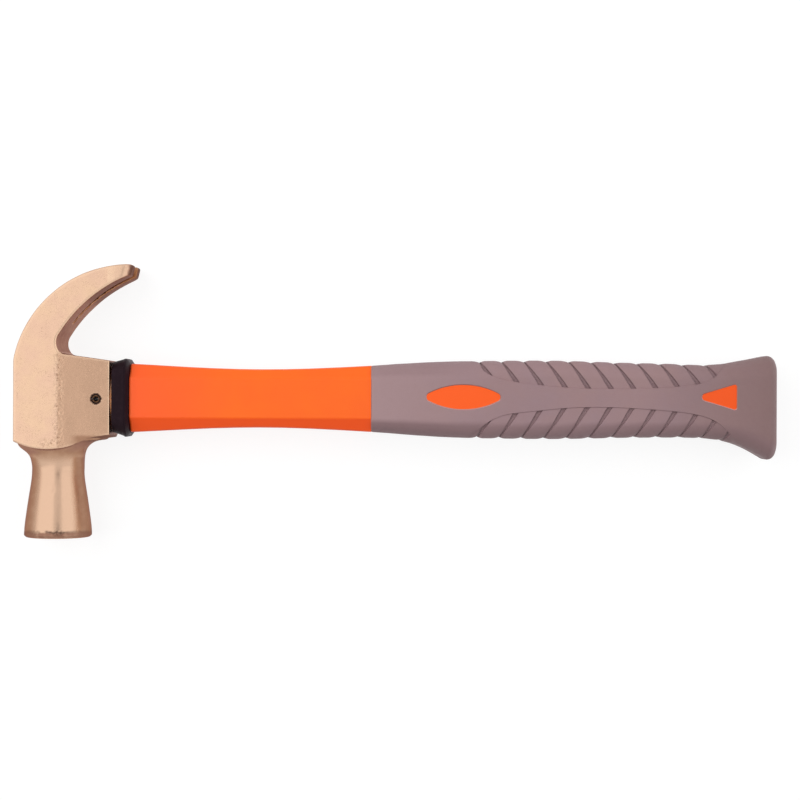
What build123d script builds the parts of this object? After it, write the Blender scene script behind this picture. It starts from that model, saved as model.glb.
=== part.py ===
from build123d import *
import os
from math import cos, radians, sin, sqrt

# A claw hammer lying on its side: +X runs along the handle from the head to the butt, +Y points
# the way the claw points, the striking face looks along -Y, and +Z is up, through the cheeks.
# The origin is on the surface it lies on, at the middle of the outline seen from above.
# Below, x is measured from a line square across the handle at the middle of the cheeks, y from the
# handle axis and z from the middle plane.

# ---- driving dimensions, in millimetres ----
overall_length = 330.0
head_back = 16.5  # middle of the cheeks to the top side of the head
face_reach = 60.6  # handle axis to the striking face
claw_reach = 57.4  # handle axis to the highest point of the claw
face_radius = 14.6  # the rim of the face, which touches the surface it lies on
strike_x = 0.45  # the neck and the face are centred this far toward the grip

# head
cheek_half = 14.1  # half the thickness across the flat cheeks and the claw
socket_end = 24.6
socket_end_half = 12.2  # half the thickness at the end of the socket
socket_top = 16.04
socket_bottom = 17.2
ridge_x = 2.3  # where the flat cheek meets the tapering side of the socket
socket_relief = (1.4, 4.5)  # the socket's lower corners are cut back by this, in y and z
relief_lean = 10.5  # degrees; the cut runs out where the cheek begins
cheek_low = ((-head_back, -18.8), (-1.6, -22.4), (15.0, -17.4))
claw_back_radius = 50.9
claw_back_x = 33.4  # the centre of the claw's back
back_bend_radius = 12.0  # where the claw's back meets the top side of the head
claw_front_mid = (17.3, 43.2)
claw_tip_x = 34.6
claw_tip_thickness = 4.7
claw_tip_slant = 1.2
claw_corner_radius = 4.0
crotch_center = (8.3, 23.75)
crotch_radius = 6.2
crotch_turns = (34.6, -36.0)  # degrees from the -X direction to where the round of the crotch ends
crotch_corner_radius = 3.5  # a tighter round runs from there into the socket's top side
crotch_corner_turn = -82.0
cheek_edge_radius = 0.9
socket_edge_radius = 0.6
slot_apex = (7.0, 33.1)  # where the nail slot ends, on the front of the claw
slot_angle = 39.0  # the slot's run, in degrees from the handle's direction
slot_apex_half = 1.4
slot_mouth_half = 5.0
slot_length = 40.0
slot_front = 6.0  # how far the cut reaches in front of its end
slot_back = 20.0  # and behind it, out through the back of the claw
neck_radius = 11.25
neck_start = 31.5  # handle axis to the thinnest place of the neck
neck_flare = ((12.2, 40.3), (13.5, 49.0), (14.35, 55.5))  # radius and distance from the handle axis
rim_chamfer = 0.9
# the hollow sweep from the cheeks into the neck: y, reach toward the head's top side and toward the
# grip, half the thickness, and the corner radius
sweep_sections = (
    (-17.2, 16.2, 21.4, 12.4, 6.0),
    (-19.0, 16.2, 16.1, 12.9, 7.0),
    (-21.0, 15.7, 13.1, 12.8, 8.5),
    (-22.8, 14.0, 12.2, 12.5, 10.0),
    (-24.6, 12.2, 11.9, 12.1, 10.8),
    (-26.6, 11.2, 11.7, 11.7, 10.6),
    (-29.0, neck_radius - strike_x, neck_radius + strike_x, 11.35, 10.6),
    (-neck_start, neck_radius - strike_x, neck_radius + strike_x, neck_radius, 10.6),
)

# eye, resin, core and pin
eye_height = 24.5
eye_width = 18.4
eye_top_height = 27.0  # the eye widens towards the top of the head, so that the resin locks
eye_top_width = 20.0
eye_corner = 6.0
resin_bead_half_height = 14.0
resin_bead_half_width = 11.7
core_height = 21.5
core_width = 14.6
core_corner = 5.5
core_top_gap = 0.6  # the core stops this far inside the top of the head
core_end = 293.8
pin_place = (18.8, -0.45)
pin_radius = 2.0
pin_bore_radius = 1.15
pin_slit = 0.7
pin_sink = 0.5  # the pin's ends lie this far inside the socket's sides

# collar
collar_start = 25.4
collar_end = 32.6

# jacket and grip
grip_start = 136.9
grip_skin = 2.4  # thickness of the soft grip over the jacket
jacket_edge_radius = 1.2
jacket_flat_half = 8.5  # half the height of the jacket's flat sides
jacket_bevel = 0.7  # how deep the bevels along the jacket are, for each unit of their height
bevel_edge_radius = 1.5
pad_sink = 0.3  # the jacket's pads lie this far below the grip
lens_x = 176.6
lens_y = 0.9
lens_half = (17.6, 5.2)
lens_end_radius = 1.8
arrow_tip_x = 277.0
arrow_end_x = 293.8
arrow_y = 1.3
arrow_half = 5.6
arrow_tip_radius = 1.5
groove_depth = 0.8
groove_width = 1.5
groove_pitch = 9.7
groove_count = 12
groove_first = 183.4
groove_lean = 33.5  # degrees away from square across the handle
groove_span = 30.0
edge_y = 17.0  # where the grooves' places are measured, near the handle's edge
spine = ((178.0, 17.6), (188.0, 10.0), (209.0, 5.0), (240.0, 3.9), (270.0, 4.9), (285.0, 9.2), (292.0, 18.5))

# sections along the handle: x, height above and depth below the handle axis, half the width, and
# the corner radius; the jacket's corners are bevelled instead
jacket_sections = (
    (collar_end, 14.85, 14.85, 10.9),
    (58.0, 13.5, 13.5, 10.1),
    (88.0, 12.6, 12.6, 9.7),
    (115.0, 13.2, 13.2, 10.0),
    (grip_start, 14.35, 14.35, 10.7),
)
grip_sections = (
    (grip_start, 14.35, 14.35, 10.7, 6.0),
    (150.0, 15.3, 15.3, 11.4, 6.8),
    (167.0, 16.2, 16.4, 12.2, 7.4),
    (193.0, 16.7, 17.0, 12.8, 7.8),
    (219.0, 16.8, 17.1, 12.9, 7.8),
    (245.0, 16.1, 16.5, 12.6, 7.6),
    (268.0, 15.6, 16.3, 12.4, 7.4),
    (284.0, 15.4, 16.9, 12.5, 7.6),
    (297.5, 17.2, 20.1, 13.4, 8.6),
    (308.0, 19.3, 25.7, face_radius, 9.6),
)
butt_end = overall_length - head_back
butt_sections = (
    grip_sections[-1],
    (310.2, 18.7, 25.3, 12.6, 9.2),
    (311.4, 17.9, 24.5, 10.2, 8.2),
    (312.1, 17.1, 23.6, 7.2, 6.4),
    (312.9, 15.5, 21.8, 3.8, 3.4),
    (butt_end, 12.5, 18.0, 1.2, 1.1),
)
collar_sections = (
    (collar_start, 15.5, 14.9, 12.0, 6.6),
    (29.6, 16.7, 16.3, 12.9, 7.2),
    (30.6, 17.05, 16.9, 13.2, 7.4),
    (31.4, 16.8, 16.7, 12.9, 7.2),
    (collar_end, 15.2, 15.2, 11.1, 6.3),
)
spigot_section = (collar_start, 12.8, 12.8, 9.3, 5.6)  # the jacket inside the collar

# ---- derived places ----
core_start = core_top_gap - head_back
eye_x = head_back - overall_length / 2
eye_y = (face_reach - claw_reach) / 2
mid = Plane(origin=(eye_x, eye_y, face_radius))  # the middle plane, with its origin in the eye
striking_axis = Axis((eye_x + strike_x, eye_y, face_radius), (0, 1, 0))
slot_run = Vector(cos(radians(slot_angle)), sin(radians(slot_angle)), 0)
slot_depth = Vector(-slot_run.Y, slot_run.X, 0)
slot_origin = Vector(eye_x + slot_apex[0], eye_y + slot_apex[1], face_radius)
slot_plane = Plane(origin=slot_origin, x_dir=slot_run, z_dir=slot_depth)


def across(x):
    """A plane square across the handle at x. Its own axes are Y and Z."""
    return Plane(origin=(eye_x + x, eye_y, face_radius), x_dir=(0, 1, 0), z_dir=(1, 0, 0))


def along_neck(y):
    """A plane square across the striking axis at y. Its own axes are X and Z."""
    return Plane(origin=(eye_x, eye_y + y, face_radius), x_dir=(1, 0, 0), z_dir=(0, -1, 0))


def on_circle(center, radius, x):
    """The upper point of a circle at x."""
    return (x, center[1] + sqrt(radius**2 - (x - center[0]) ** 2))


def round_point(center, radius, turn):
    """A point of a circle, turned from the -X direction toward +Y."""
    angle = radians(turn)
    return (center[0] - radius * cos(angle), center[1] + radius * sin(angle))


def handle_section(section, shrink=0.0):
    """One rounded section of the handle, smaller all round by shrink."""
    x, top, bottom, half, corner = section
    with BuildSketch(across(x)) as outline:
        with Locations(((top - bottom) / 2, 0)):
            RectangleRounded(top + bottom - 2 * shrink, 2 * (half - shrink), corner - shrink)
    return outline.sketch


def handle_sections(sections, shrink=0.0):
    return [handle_section(section, shrink) for section in sections]


def jacket_section(section):
    """One section of the jacket: flat sides, bevelled corners."""
    x, top, bottom, half = section
    low_half = half - jacket_bevel * (bottom - jacket_flat_half)
    high_half = half - jacket_bevel * (top - jacket_flat_half)
    with BuildSketch(across(x)) as outline:
        with BuildLine():
            Polyline(
                (-jacket_flat_half, half),
                (jacket_flat_half, half),
                (top, high_half),
                (top, -high_half),
                (jacket_flat_half, -half),
                (-jacket_flat_half, -half),
                (-bottom, -low_half),
                (-bottom, low_half),
                close=True,
            )
        make_face()
        fillet(outline.vertices(), bevel_edge_radius)
    return outline.sketch


def eye_sections():
    """The two ends of the tapering eye, for the hole and for the resin that fills it."""
    with BuildSketch(across(-head_back)) as top:
        RectangleRounded(eye_top_height, eye_top_width, eye_corner)
    with BuildSketch(across(socket_end)) as end:
        RectangleRounded(eye_height, eye_width, eye_corner)
    return [top.sketch, end.sketch]


def core_section():
    with BuildSketch(across(core_start)) as outline:
        RectangleRounded(core_height, core_width, core_corner)
    return outline.sketch


def pin_outline():
    with BuildSketch(mid) as outline:
        with Locations(pin_place):
            Circle(pin_radius)
    return outline.sketch


def window_outlines():
    """The lens and the arrowhead that show through the grip."""
    with BuildSketch(mid) as windows:
        with BuildLine():
            for side in (1, -1):
                ThreePointArc(
                    (lens_x - lens_half[0], lens_y),
                    (lens_x, lens_y + side * lens_half[1]),
                    (lens_x + lens_half[0], lens_y),
                )
        make_face()
        fillet(windows.vertices(), lens_end_radius)
        with BuildLine():
            Polyline(
                (arrow_tip_x - arrow_tip_radius, arrow_y),
                (arrow_end_x, arrow_y + arrow_half),
                (arrow_end_x, arrow_y - arrow_half),
                close=True,
            )
        make_face()
        tip = windows.vertices().sort_by_distance((arrow_tip_x - arrow_tip_radius, arrow_y))[0]
        fillet(tip, arrow_tip_radius)
    return windows.sketch


# ---- head: one bronze casting ----
claw_back_center = (claw_back_x, claw_reach - claw_back_radius)
back_low = on_circle(claw_back_center, claw_back_radius, -head_back)
back_high = on_circle(claw_back_center, claw_back_radius, 0.0)
tip_back = on_circle(claw_back_center, claw_back_radius, claw_tip_x)
tip_front = (claw_tip_x - claw_tip_slant, tip_back[1] - claw_tip_thickness)
crotch_high = round_point(crotch_center, crotch_radius, crotch_turns[0])
crotch_mid = round_point(crotch_center, crotch_radius, 0.0)
crotch_low = round_point(crotch_center, crotch_radius, crotch_turns[1])
corner_center = round_point(crotch_center, crotch_radius - crotch_corner_radius, crotch_turns[1])
corner_mid = round_point(corner_center, crotch_corner_radius, (crotch_turns[1] + crotch_corner_turn) / 2)
corner_low = round_point(corner_center, crotch_corner_radius, crotch_corner_turn)

# the cut passes twice as far on both sides of the corner as what it takes off
relief_out = (-socket_bottom + 2 * socket_relief[0], socket_end_half + socket_relief[1])
relief_in = (-socket_bottom - socket_relief[0], socket_end_half - 2 * socket_relief[1])
relief_way = (-cos(radians(relief_lean)), -sin(radians(relief_lean)), 0)
relief_run = (socket_end - cheek_low[2][0]) / cos(radians(relief_lean))

with BuildPart() as head:
    # cheeks, socket and claw
    with BuildSketch(mid) as side_view:
        with BuildLine():
            Line(cheek_low[0], back_low)
            ThreePointArc(back_low, back_high, tip_back)
            Line(tip_back, tip_front)
            ThreePointArc(tip_front, claw_front_mid, crotch_high)
            ThreePointArc(crotch_high, crotch_mid, crotch_low)
            ThreePointArc(crotch_low, corner_mid, corner_low)
            Line(corner_low, (socket_end, socket_top))
            Line((socket_end, socket_top), (socket_end, -socket_bottom))
            Line((socket_end, -socket_bottom), cheek_low[2])
            ThreePointArc(cheek_low[2], cheek_low[1], cheek_low[0])
        make_face()
        bend = side_view.vertices().sort_by_distance(back_low)[0]
        fillet(bend, back_bend_radius)
    extrude(amount=cheek_half, both=True)
    # rounded outer corners of the two claw tips, then soft edges all round
    tips = head.edges().filter_by(lambda e: abs(e.length - claw_tip_thickness) < 1.0)
    tips = tips.filter_by(lambda e: (e @ 0.5).X > eye_x + claw_tip_x - 2 * claw_tip_slant)
    tips = tips.filter_by(lambda e: abs((e @ 0.5).Z - face_radius) > cheek_half / 2)
    fillet(tips, claw_corner_radius)
    fillet(head.faces().filter_by(Plane.XY).edges(), cheek_edge_radius)
    # the socket tapers on both sides from the ridge to its end
    with BuildSketch(along_neck(crotch_center[1])):
        for side in (1, -1):
            with BuildLine():
                Polyline(
                    (ridge_x, side * cheek_half),
                    (socket_end, side * socket_end_half),
                    (socket_end, side * 2 * cheek_half),
                    (ridge_x, side * 2 * cheek_half),
                    close=True,
                )
            make_face()
    extrude(amount=crotch_center[1] + face_reach, mode=Mode.SUBTRACT)
    socket_rims = head.edges().filter_by(lambda e: abs((e @ 0.5).X - eye_x - socket_end) < 0.01)
    fillet(socket_rims.filter_by(Axis.Y), socket_edge_radius)
    # the socket's lower corners are cut back, less and less toward the cheek
    with BuildSketch(across(socket_end)):
        for side in (1, -1):
            with BuildLine():
                Polyline(
                    (relief_out[0], side * relief_out[1]),
                    (relief_in[0], side * relief_in[1]),
                    (relief_in[0], side * relief_out[1]),
                    close=True,
                )
            make_face()
    extrude(amount=relief_run, dir=relief_way, mode=Mode.SUBTRACT)
    # the cheeks run down into the neck in one hollow sweep
    for y, left, right, half, corner in sweep_sections:
        with BuildSketch(along_neck(y)):
            with Locations(((right - left) / 2, 0)):
                RectangleRounded(left + right, 2 * half, corner)
    loft()
    # neck and striking face
    flare = [(strike_x + radius, -reach) for radius, reach in neck_flare]
    with BuildSketch(mid):
        with BuildLine():
            Line((strike_x, -neck_start), (strike_x + neck_radius, -neck_start))
            Spline(
                (strike_x + neck_radius, -neck_start),
                *flare,
                (strike_x + face_radius, rim_chamfer - face_reach),
                tangents=((0, -1), (0, -1)),
            )
            Line(
                (strike_x + face_radius, rim_chamfer - face_reach),
                (strike_x + face_radius - rim_chamfer, -face_reach),
            )
            Line((strike_x + face_radius - rim_chamfer, -face_reach), (strike_x, -face_reach))
            Line((strike_x, -face_reach), (strike_x, -neck_start))
        make_face()
    revolve(axis=striking_axis)
    loft(eye_sections(), mode=Mode.SUBTRACT)
    # nail slot: a V between the two prongs
    with BuildSketch(slot_plane.offset(-slot_front)):
        with BuildLine():
            Polyline(
                (0, -slot_apex_half),
                (slot_length, -slot_mouth_half),
                (slot_length, slot_mouth_half),
                (0, slot_apex_half),
            )
            ThreePointArc((0, slot_apex_half), (-slot_apex_half, 0), (0, -slot_apex_half))
        make_face()
    extrude(amount=slot_front + slot_back, mode=Mode.SUBTRACT)
    extrude(pin_outline(), amount=2 * cheek_half, both=True, mode=Mode.SUBTRACT)

# ---- fibreglass core, from the top of the eye to just inside the butt ----
with BuildPart() as core_rod:
    extrude(core_section(), amount=core_end - core_start)
    extrude(pin_outline(), amount=cheek_half, both=True, mode=Mode.SUBTRACT)

# ---- resin bed in the eye, squeezed out a little between socket and collar ----
with BuildPart() as eye_resin:
    loft(eye_sections())
    with BuildSketch(across(socket_end)):
        Ellipse(resin_bead_half_height, resin_bead_half_width)
    extrude(amount=collar_start - socket_end)
    extrude(core_section(), amount=core_end, mode=Mode.SUBTRACT)
    with BuildSketch(across(-head_back)):
        Rectangle(2 * eye_top_height, 2 * eye_top_width)
    extrude(amount=core_top_gap, mode=Mode.SUBTRACT)
    extrude(pin_outline(), amount=cheek_half, both=True, mode=Mode.SUBTRACT)

# ---- hollow slotted spring pin through both cheeks and the core ----
taper = (cheek_half - socket_end_half) / (socket_end - ridge_x)
pin_half = cheek_half - taper * (pin_place[0] - ridge_x) - pin_sink
with BuildPart() as roll_pin:
    with BuildSketch(mid):
        with Locations(pin_place):
            Circle(pin_radius)
            Circle(pin_bore_radius, mode=Mode.SUBTRACT)
        with Locations((pin_place[0] - pin_radius, pin_place[1])):
            Rectangle(2 * pin_radius, pin_slit, mode=Mode.SUBTRACT)
    extrude(amount=pin_half, both=True)

# ---- jacket: orange plastic round the core, with pads that fill the grip's windows ----
with BuildPart() as pads:
    loft(handle_sections(grip_sections, pad_sink))
    extrude(window_outlines(), amount=2 * face_radius, both=True, mode=Mode.INTERSECT)

with BuildPart() as jacket:
    loft([jacket_section(section) for section in jacket_sections])
    fillet(jacket.faces().sort_by(Axis.X)[0].edges(), jacket_edge_radius)
    extrude(handle_section(spigot_section), amount=jacket_sections[1][0] - collar_start)
    loft(handle_sections(grip_sections[:-1], grip_skin))
    add(pads.part)
    extrude(core_section(), amount=core_end - core_start, mode=Mode.SUBTRACT)

# ---- collar: black sleeve with a flared lip ----
with BuildPart() as collar:
    loft(handle_sections(collar_sections), ruled=True)
    add(jacket.part, mode=Mode.SUBTRACT)
    add(core_rod.part, mode=Mode.SUBTRACT)

# ---- grip: soft rubber with slanted grooves, windows and a flared butt ----
with BuildPart() as grooves:
    with BuildSketch(mid):
        for k in range(groove_count):
            with Locations((groove_first + k * groove_pitch, edge_y)):
                Rectangle(groove_width, groove_span, rotation=groove_lean)
        with BuildLine():
            Spline(*spine)
            Polyline(spine[-1], (spine[-1][0], 2 * edge_y), (spine[0][0], 2 * edge_y), spine[0])
        make_face(mode=Mode.INTERSECT)
        mirror(about=Plane.XZ)
    extrude(amount=2 * face_radius, both=True)

with BuildPart() as under_grooves:
    loft(handle_sections(grip_sections, groove_depth))

with BuildPart() as grip:
    loft(handle_sections(grip_sections))
    add(grooves.part, mode=Mode.SUBTRACT)
    add(under_grooves.part)
    loft(handle_sections(butt_sections), ruled=True)
    extrude(window_outlines(), amount=2 * face_radius, both=True, mode=Mode.SUBTRACT)
    add(jacket.part, mode=Mode.SUBTRACT)
    add(core_rod.part, mode=Mode.SUBTRACT)

pieces = {
    "head": head,
    "core_rod": core_rod,
    "eye_resin": eye_resin,
    "roll_pin": roll_pin,
    "jacket": jacket,
    "collar": collar,
    "grip": grip,
}
os.makedirs("parts", exist_ok=True)
for name, piece in pieces.items():
    piece.part.label = name
    export_step(piece.part, "parts/" + name + ".step")
    print(name, round(piece.part.volume), len(piece.part.solids()), piece.part.bounding_box())
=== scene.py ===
import math

import bmesh
import bpy
import numpy as np
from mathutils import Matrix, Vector, noise


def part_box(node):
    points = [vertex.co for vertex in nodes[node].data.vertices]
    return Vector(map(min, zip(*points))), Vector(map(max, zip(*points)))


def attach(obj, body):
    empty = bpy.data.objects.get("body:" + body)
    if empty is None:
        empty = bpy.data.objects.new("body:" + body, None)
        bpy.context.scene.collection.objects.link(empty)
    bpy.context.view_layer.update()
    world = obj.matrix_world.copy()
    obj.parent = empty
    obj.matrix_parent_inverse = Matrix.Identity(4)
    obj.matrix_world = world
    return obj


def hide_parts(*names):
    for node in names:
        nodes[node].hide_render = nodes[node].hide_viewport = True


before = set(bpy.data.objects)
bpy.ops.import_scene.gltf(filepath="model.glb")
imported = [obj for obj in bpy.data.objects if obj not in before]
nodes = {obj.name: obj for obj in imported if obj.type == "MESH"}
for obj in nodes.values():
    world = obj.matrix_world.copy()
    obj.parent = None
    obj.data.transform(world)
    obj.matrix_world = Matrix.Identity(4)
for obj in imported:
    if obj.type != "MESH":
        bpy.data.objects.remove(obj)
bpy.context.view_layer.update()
mm = 0.001

# the eye is the middle of the cheeks, on the handle's axis: along, across and up are measured
# from it, in millimetres
headBack = 16.5
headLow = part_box("head")[0]
coreLow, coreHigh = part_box("core_rod")
coreMiddle = (coreLow + coreHigh) / 2
eye = Vector((headLow.x + headBack * mm, coreMiddle.y, coreMiddle.z))
eyeArray = np.array(eye)
print("frame loaded:", ", ".join(sorted(nodes)))


cameraSettings = dict(
    along=149.35,
    across=-0.45,
    up=760.0,
    roll=0.22,  # degrees
    lens=78.4,
    sensor=36.0,
    clip=(0.02, 30.0),  # metres
)


def placeCamera(s):
    camera = bpy.data.objects.new("camera", bpy.data.cameras.new("camera"))
    bpy.context.scene.collection.objects.link(camera)
    camera.data.sensor_width = s["sensor"]
    camera.data.lens = s["lens"]
    camera.data.clip_start, camera.data.clip_end = s["clip"]
    camera.location = eye + Vector((s["along"], s["across"], s["up"])) * mm
    camera.rotation_euler = (0, 0, math.radians(s["roll"]))
    bpy.context.scene.camera = camera


placeCamera(cameraSettings)

# in metres: each panel hangs between two places over the bench and is so deep across it; the
# soft ones light the surfaces, the shiny ones, a little lower, are what the metal mirrors
lampSettings = dict(
    left=dict(start=(-1.55, 0.50), end=(-0.26, 1.25), depth=1.6, middle=0.46, soft=2.05, shiny=0.31),
    right=dict(start=(0.40, 1.25), end=(1.60, 0.05), depth=1.6, middle=0.46, soft=1.2, shiny=0.27),
)
shinyDrop = 0.02


def addLamp(name, s, radiance, shiny):
    start, end = Vector(s["start"]), Vector(s["end"])
    width = (end - start).length
    light = bpy.data.lights.new(name, "AREA")
    light.shape = "RECTANGLE"
    light.size, light.size_y = width, s["depth"]
    light.energy = radiance * math.pi * width * s["depth"]
    lamp = bpy.data.objects.new(name, light)
    bpy.context.scene.collection.objects.link(lamp)
    lamp.visible_glossy = shiny
    lamp.visible_diffuse = not shiny
    middle = (start + end) / 2
    lamp.location = (middle.x, s["middle"], middle.y - shinyDrop * shiny)
    lamp.rotation_euler = (0, -math.atan2(end.y - start.y, end.x - start.x), 0)


for lampName, lampValues in lampSettings.items():
    addLamp(lampName + "_soft_lamp", lampValues, lampValues["soft"], False)
    addLamp(lampName + "_shiny_lamp", lampValues, lampValues["shiny"], True)


def addNode(tree, kind, settings=None, inputs=None):
    made = tree.nodes.new("ShaderNode" + kind)
    for key, value in (settings or {}).items():
        setattr(made, key, value)
    for key, value in (inputs or {}).items():
        socket = made.inputs[key]
        if isinstance(value, bpy.types.NodeSocket):
            tree.links.new(value, socket)
        else:
            socket.default_value = value
    return made


def rgba(colour):
    return (colour[0], colour[1], colour[2], 1.0)


def newMaterial(name):
    material = bpy.data.materials.new(name)
    material.use_nodes = True
    return material, material.node_tree


def startMaterial(name):
    # a material whose textures are laid out in millimetres
    material, tree = newMaterial(name)
    place = addNode(tree, "TexCoord").outputs["Object"]
    scaled = addNode(tree, "Mapping", inputs={"Vector": place, "Scale": [1 / mm] * 3})
    return material, tree, tree.nodes["Principled BSDF"], scaled.outputs["Vector"]


def bareMaterial(name):
    # a material with nothing in it but its output
    material, tree = newMaterial(name)
    tree.nodes.remove(tree.nodes["Principled BSDF"])
    return material, tree, tree.nodes["Material Output"].inputs["Surface"]


def between(tree, value, low, high, toLow=0.0, toHigh=1.0):
    made = addNode(
        tree,
        "MapRange",
        {"clamp": True},
        {"Value": value, "From Min": low, "From Max": high, "To Min": toLow, "To Max": toHigh},
    )
    return made.outputs["Result"]


def noiseOf(tree, place, size, detail=3.0, roughness=0.55):
    made = addNode(
        tree,
        "TexNoise",
        inputs={"Vector": place, "Scale": 1.0 / size, "Detail": detail, "Roughness": roughness},
    )
    return made.outputs["Fac"]


def patchesOf(tree, place, size, low, high, toLow=0.0, toHigh=1.0, detail=3.0, roughness=0.55):
    # noise of one size, spread from toLow to toHigh
    return between(tree, noiseOf(tree, place, size, detail, roughness), low, high, toLow, toHigh)


def mathOf(tree, operation, first, second):
    made = addNode(tree, "Math", {"operation": operation}, {0: first, 1: second})
    return made.outputs[0]


def mixColours(tree, amount, first, second):
    # each colour is a plain one or what another node gives
    first, second = (c if isinstance(c, bpy.types.NodeSocket) else rgba(c) for c in (first, second))
    made = addNode(tree, "Mix", {"data_type": "RGBA"}, {0: amount, 6: first, 7: second})
    return made.outputs[2]


def bumpOf(tree, height, strength, depth, before=None):
    inputs = {"Height": height, "Strength": strength, "Distance": depth * mm}
    if before is not None:
        inputs["Normal"] = before
    return addNode(tree, "Bump", inputs=inputs).outputs["Normal"]


def grainOf(tree, place, size, strength, depth, detail=3.0, roughness=0.55):
    return bumpOf(tree, noiseOf(tree, place, size, detail, roughness), strength, depth)


def attributeOf(tree, name):
    return addNode(tree, "Attribute", {"attribute_name": name}).outputs["Fac"]


def partsOf(tree, vector):
    return addNode(tree, "SeparateXYZ", inputs={"Vector": vector}).outputs


def facingOf(tree):
    return partsOf(tree, addNode(tree, "TexCoord").outputs["Normal"])


def finishSurface(tree, shader, colour, rough, normal):
    for name, value in (("Base Color", colour), ("Roughness", rough), ("Normal", normal)):
        tree.links.new(value, shader.inputs[name])


floorSettings = dict(
    radius=4.0,  # metres
    segments=64,
    shade=(0.80, 0.80, 0.80),
    seenShade=(0.18, 0.18, 0.18),
    glow=0.86,
    skyLight=0.30,
)
# a grey round card behind the camera, which the metal mirrors as a darker gap; in metres
cardSettings = dict(
    radius=0.115,
    segments=48,
    offset=(0.0, 0.0, 0.05),
    cloth=dict(size=0.004, low=0.3, high=0.7, toLow=0.589, toHigh=0.651),
)


def seenDirectly(tree):
    path = addNode(tree, "LightPath").outputs
    seen = mathOf(tree, "MAXIMUM", path["Is Camera Ray"], path["Is Glossy Ray"])
    return mathOf(tree, "MAXIMUM", seen, path["Is Transmission Ray"])


def roundSheet(name, s, material):
    mesh = bpy.data.meshes.new(name)
    shape = bmesh.new()
    bmesh.ops.create_circle(shape, cap_ends=True, segments=s["segments"], radius=s["radius"])
    shape.to_mesh(mesh)
    shape.free()
    mesh.materials.append(material)
    sheet = bpy.data.objects.new(name, mesh)
    bpy.context.scene.collection.objects.link(sheet)
    return sheet


def makeFloor(s):
    # a pale floor that still takes the shadow, lifted to white where it is looked at
    material, tree, surface = bareMaterial("pale_floor")
    plain = addNode(tree, "BsdfDiffuse", inputs={"Color": rgba(s["shade"])})
    shaded = addNode(tree, "BsdfDiffuse", inputs={"Color": rgba(s["seenShade"])})
    glow = addNode(tree, "Emission", inputs={"Strength": s["glow"]})
    seen = addNode(tree, "AddShader", inputs={0: shaded.outputs[0], 1: glow.outputs[0]})
    mixed = addNode(
        tree,
        "MixShader",
        inputs={0: seenDirectly(tree), 1: plain.outputs[0], 2: seen.outputs[0]},
    )
    tree.links.new(mixed.outputs[0], surface)
    floor = roundSheet("floor", s, material)


def lightSky(s):
    world = bpy.data.worlds.new("studio")
    bpy.context.scene.world = world
    world.use_nodes = True
    tree = world.node_tree
    background = tree.nodes["Background"]
    background.inputs["Color"].default_value = (1, 1, 1, 1)
    strength = between(tree, seenDirectly(tree), 0.0, 1.0, s["skyLight"], 1.0)
    tree.links.new(strength, background.inputs["Strength"])


def makeCard(s):
    material, tree, surface = bareMaterial("grey_card")
    place = addNode(tree, "TexCoord").outputs["Object"]
    glow = addNode(tree, "Emission", inputs={"Strength": patchesOf(tree, place, **s["cloth"])})
    tree.links.new(glow.outputs[0], surface)
    card = roundSheet("grey_card", s, material)
    card.location = bpy.context.scene.camera.location + Vector(s["offset"])
    card.visible_diffuse = False
    card.visible_shadow = False


makeFloor(floorSettings)
lightSky(floorSettings)
makeCard(cardSettings)
bpy.context.scene.view_settings.view_transform = "Standard"
print("camera, lamps and floor are set")


def newPiece(name, points, faces, smooth=True):
    mesh = bpy.data.meshes.new(name)
    mesh.from_pydata([tuple(p) for p in points], [], faces)
    mesh.validate()
    mesh.polygons.foreach_set("use_smooth", [smooth] * len(mesh.polygons))
    piece = bpy.data.objects.new(name, mesh)
    bpy.context.scene.collection.objects.link(piece)
    return piece


def readVectors(mesh, field):
    values = np.empty(len(mesh.vertices) * 3)
    mesh.vertices.foreach_get(field, values)
    return values.reshape(-1, 3)


def writePoints(mesh, points):
    mesh.vertices.foreach_set("co", points.ravel())
    mesh.update()


def writeMask(mesh, name, values):
    layer = mesh.attributes.new(name, "FLOAT", "POINT")
    layer.data.foreach_set("value", np.clip(values, 0.0, 1.0).astype(np.float32))


def applyModifiers(piece):
    view = bpy.context.evaluated_depsgraph_get()
    mesh = bpy.data.meshes.new_from_object(piece.evaluated_get(view))
    piece.modifiers.clear()
    old = piece.data
    piece.data = mesh
    bpy.data.meshes.remove(old)


def smoothStep(values, low, high):
    t = np.clip((values - low) / (high - low), 0.0, 1.0)
    return t * t * (3 - 2 * t)


def softBand(values, middle, width):
    return np.exp(-(((values - middle) / width) ** 2))


def cloudy(points, size, seed):
    # smooth noise that is the same each run; the seed moves it elsewhere
    offset = Vector((seed * 17.3, seed * 5.1, seed * 9.7))
    return np.array([noise.fractal(Vector(p) / size + offset, 1.0, 2.0, 2) for p in points])


def neighbourMean(mesh):
    # gives a function that averages values over the neighbours of each point
    edges = np.empty(len(mesh.edges) * 2, dtype=np.int64)
    mesh.edges.foreach_get("vertices", edges)
    first, second = edges.reshape(-1, 2).T
    size = len(mesh.vertices)
    count = np.bincount(first, minlength=size) + np.bincount(second, minlength=size)
    count = np.maximum(count, 1)[:, None]

    def mean(values):
        columns = [
            np.bincount(first, column[second], size) + np.bincount(second, column[first], size)
            for column in values.T
        ]
        return np.stack(columns, axis=1) / count

    return mean


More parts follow.
